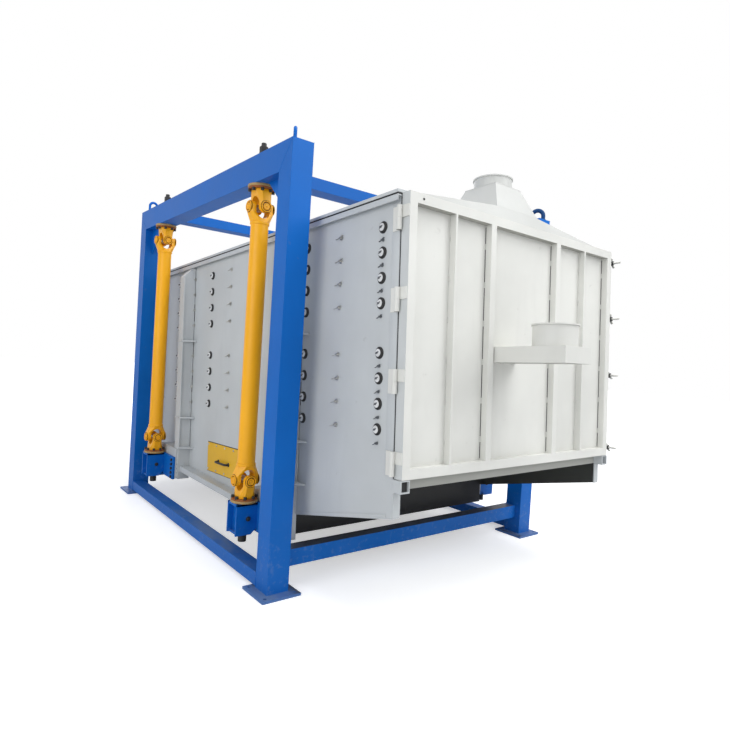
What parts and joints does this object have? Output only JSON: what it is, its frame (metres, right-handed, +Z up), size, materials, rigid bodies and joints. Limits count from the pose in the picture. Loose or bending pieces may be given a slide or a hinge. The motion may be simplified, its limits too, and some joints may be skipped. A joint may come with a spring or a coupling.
{
  "type": "gyratory screener",
  "caption": "Inclined gyratory screener: a sealed sieve box with ribbed door and hopper, hung on universal-joint shafts in a tube frame.",
  "frame": {"origin": "centre of the four anchored feet, on the floor", "axes": "+X across the machine to the right seen from the door, +Y along the box from the door to the discharge end, +Z up"},
  "size_m": [2.57, 4.4335, 2.7059],
  "materials": {
    "frame_blue": "gloss enamel",
    "shaft_yellow": "gloss enamel",
    "box_grey": "satin enamel",
    "door_white": "satin enamel",
    "dark_steel": "dark satin coating",
    "bright_steel": "bare machined",
    "port_rubber": "moulded",
    "hatch_yellow": "gloss enamel",
    "tray_wood": "varnished",
    "sieve_cloth": "woven",
    "motor_grey": "painted"
  },
  "bodies": {
    "frame": {"columns_left": "frame_blue", "columns_right": "frame_blue", "top_beam_left": "frame_blue", "top_beam_right": "frame_blue", "top_rails": "frame_blue", "base_beams": "frame_blue", "base_rails": "frame_blue", "corner_gussets": "frame_blue", "foot_plates": "frame_blue", "lifting_eyes": "dark_steel", "upper_yokes": "shaft_yellow", "upper_bolts": "dark_steel"},
    "upper_cross_front_left": {"upper_cross_front_left": "bright_steel"},
    "hanger_shaft_front_left": {"hanger_shaft_front_left": "shaft_yellow"},
    "lower_cross_front_left": {"lower_cross_front_left": "bright_steel"},
    "upper_cross_rear_left": {"upper_cross_rear_left": "bright_steel"},
    "hanger_shaft_rear_left": {"hanger_shaft_rear_left": "shaft_yellow"},
    "lower_cross_rear_left": {"lower_cross_rear_left": "bright_steel"},
    "upper_cross_front_right": {"upper_cross_front_right": "bright_steel"},
    "hanger_shaft_front_right": {"hanger_shaft_front_right": "shaft_yellow"},
    "lower_cross_front_right": {"lower_cross_front_right": "bright_steel"},
    "upper_cross_rear_right": {"upper_cross_rear_right": "bright_steel"},
    "hanger_shaft_rear_right": {"hanger_shaft_rear_right": "shaft_yellow"},
    "lower_cross_rear_right": {"lower_cross_rear_right": "bright_steel"},
    "door": {"door_frame": "door_white", "door_panel": "door_white", "door_chute": "door_white", "door_fittings": "door_white"},
    "hand_screw_1": {"hand_screw_1": "bright_steel"},
    "hand_screw_2": {"hand_screw_2": "bright_steel"},
    "hand_screw_3": {"hand_screw_3": "bright_steel"},
    "hand_screw_4": {"hand_screw_4": "bright_steel"},
    "eccentric_rotor": {"eccentric_rotor": "motor_grey"},
    "motor_pulley": {"motor_pulley": "motor_grey"},
    "screen_box": {"hanger_brackets": "frame_blue", "lower_bolts": "dark_steel", "bracket_bolts": "dark_steel", "hatch_handle": "dark_steel", "drive_cradle": "dark_steel", "lower_yokes": "shaft_yellow", "side_wall_left": "box_grey", "side_wall_right": "box_grey", "rear_wall": "box_grey", "box_floor": "box_grey", "discharge_outlets": "box_grey", "front_frame": "box_grey", "top_cover": "box_grey", "feed_roof": "box_grey", "inlet_hopper": "box_grey", "hanging_posts": "box_grey", "bottom_chords": "box_grey", "deck_rails": "box_grey", "box_fittings": "box_grey", "port_plugs": "port_rubber", "cleaning_balls": "port_rubber", "drive_belt": "port_rubber", "hatch_cover": "hatch_yellow", "screen_trays": "tray_wood", "screen_cloths": "sieve_cloth", "drive_motor": "motor_grey"}
  },
  "joints": [
    {"name": "upper_pivot_front_left", "type": "hinge", "parent": "frame", "child": "upper_cross_front_left", "pos_m": [-1.16, -0.885, 2.294], "axis": [0, 1, 0], "range_deg": [-0.8, 0.8]},
    {"name": "shaft_pivot_front_left", "type": "hinge", "parent": "upper_cross_front_left", "child": "hanger_shaft_front_left", "pos_m": [-1.16, -0.885, 2.294], "axis": [1, 0, 0], "range_deg": [-0.8, 0.8]},
    {"name": "lower_pivot_front_left", "type": "hinge", "parent": "hanger_shaft_front_left", "child": "lower_cross_front_left", "pos_m": [-1.16, -0.885, 0.574], "axis": [1, 0, 0], "range_deg": [-0.8, 0.8]},
    {"name": "upper_pivot_rear_left", "type": "hinge", "parent": "frame", "child": "upper_cross_rear_left", "pos_m": [-1.16, 0.885, 2.294], "axis": [0, 1, 0], "range_deg": [-0.8, 0.8]},
    {"name": "shaft_pivot_rear_left", "type": "hinge", "parent": "upper_cross_rear_left", "child": "hanger_shaft_rear_left", "pos_m": [-1.16, 0.885, 2.294], "axis": [1, 0, 0], "range_deg": [-0.8, 0.8]},
    {"name": "lower_pivot_rear_left", "type": "hinge", "parent": "hanger_shaft_rear_left", "child": "lower_cross_rear_left", "pos_m": [-1.16, 0.885, 0.574], "axis": [1, 0, 0], "range_deg": [-0.8, 0.8]},
    {"name": "upper_pivot_front_right", "type": "hinge", "parent": "frame", "child": "upper_cross_front_right", "pos_m": [1.16, -0.885, 2.294], "axis": [0, 1, 0], "range_deg": [-0.8, 0.8]},
    {"name": "shaft_pivot_front_right", "type": "hinge", "parent": "upper_cross_front_right", "child": "hanger_shaft_front_right", "pos_m": [1.16, -0.885, 2.294], "axis": [1, 0, 0], "range_deg": [-0.8, 0.8]},
    {"name": "lower_pivot_front_right", "type": "hinge", "parent": "hanger_shaft_front_right", "child": "lower_cross_front_right", "pos_m": [1.16, -0.885, 0.574], "axis": [1, 0, 0], "range_deg": [-0.8, 0.8]},
    {"name": "upper_pivot_rear_right", "type": "hinge", "parent": "frame", "child": "upper_cross_rear_right", "pos_m": [1.16, 0.885, 2.294], "axis": [0, 1, 0], "range_deg": [-0.8, 0.8]},
    {"name": "shaft_pivot_rear_right", "type": "hinge", "parent": "upper_cross_rear_right", "child": "hanger_shaft_rear_right", "pos_m": [1.16, 0.885, 2.294], "axis": [1, 0, 0], "range_deg": [-0.8, 0.8]},
    {"name": "lower_pivot_rear_right", "type": "hinge", "parent": "hanger_shaft_rear_right", "child": "lower_cross_rear_right", "pos_m": [1.16, 0.885, 0.574], "axis": [1, 0, 0], "range_deg": [-0.8, 0.8]},
    {"name": "box_pivot", "type": "hinge", "parent": "lower_cross_front_left", "child": "screen_box", "pos_m": [-1.16, -0.885, 0.574], "axis": [0, 1, 0], "range_deg": [-0.8, 0.8]},
    {"name": "door_hinge", "type": "hinge", "parent": "screen_box", "child": "door", "pos_m": [-0.976, -2.04185, 1.51346], "axis": [0, -0.0475, -0.9989], "range_deg": [0, 120]},
    {"name": "hand_screw_turn_1", "type": "hinge", "parent": "door", "child": "hand_screw_1", "pos_m": [1.002, -2.09067, 0.86504], "axis": [0, 0.9989, -0.0475], "continuous": true},
    {"name": "hand_screw_turn_2", "type": "hinge", "parent": "door", "child": "hand_screw_2", "pos_m": [1.002, -2.06671, 1.36948], "axis": [0, 0.9989, -0.0475], "continuous": true},
    {"name": "hand_screw_turn_3", "type": "hinge", "parent": "door", "child": "hand_screw_3", "pos_m": [1.002, -2.04782, 1.76703], "axis": [0, 0.9989, -0.0475], "continuous": true},
    {"name": "hand_screw_turn_4", "type": "hinge", "parent": "door", "child": "hand_screw_4", "pos_m": [1.002, -2.02908, 2.16158], "axis": [0, 0.9989, -0.0475], "continuous": true},
    {"name": "rotor_spin", "type": "hinge", "parent": "screen_box", "child": "eccentric_rotor", "pos_m": [0, -0.66912, 0.347], "axis": [0, 0.0475, 0.9989], "continuous": true},
    {"name": "motor_spin", "type": "hinge", "parent": "screen_box", "child": "motor_pulley", "pos_m": [0.65, -0.86298, 0.58647], "axis": [0, 0.0475, 0.9989], "continuous": true}
  ],
  "couplings": [
    {"joint": "lower_pivot_front_left", "follows": "shaft_pivot_front_left", "ratio": -1},
    {"joint": "lower_pivot_rear_left", "follows": "shaft_pivot_front_left", "ratio": -1},
    {"joint": "upper_pivot_rear_left", "follows": "upper_pivot_front_left", "ratio": 1},
    {"joint": "shaft_pivot_rear_left", "follows": "shaft_pivot_front_left", "ratio": 1},
    {"joint": "lower_pivot_front_right", "follows": "shaft_pivot_front_left", "ratio": -1},
    {"joint": "upper_pivot_front_right", "follows": "upper_pivot_front_left", "ratio": 1},
    {"joint": "shaft_pivot_front_right", "follows": "shaft_pivot_front_left", "ratio": 1},
    {"joint": "lower_pivot_rear_right", "follows": "shaft_pivot_front_left", "ratio": -1},
    {"joint": "upper_pivot_rear_right", "follows": "upper_pivot_front_left", "ratio": 1},
    {"joint": "shaft_pivot_rear_right", "follows": "shaft_pivot_front_left", "ratio": 1},
    {"joint": "box_pivot", "follows": "upper_pivot_front_left", "ratio": -1},
    {"joint": "motor_spin", "follows": "rotor_spin", "ratio": 4}
  ]
}
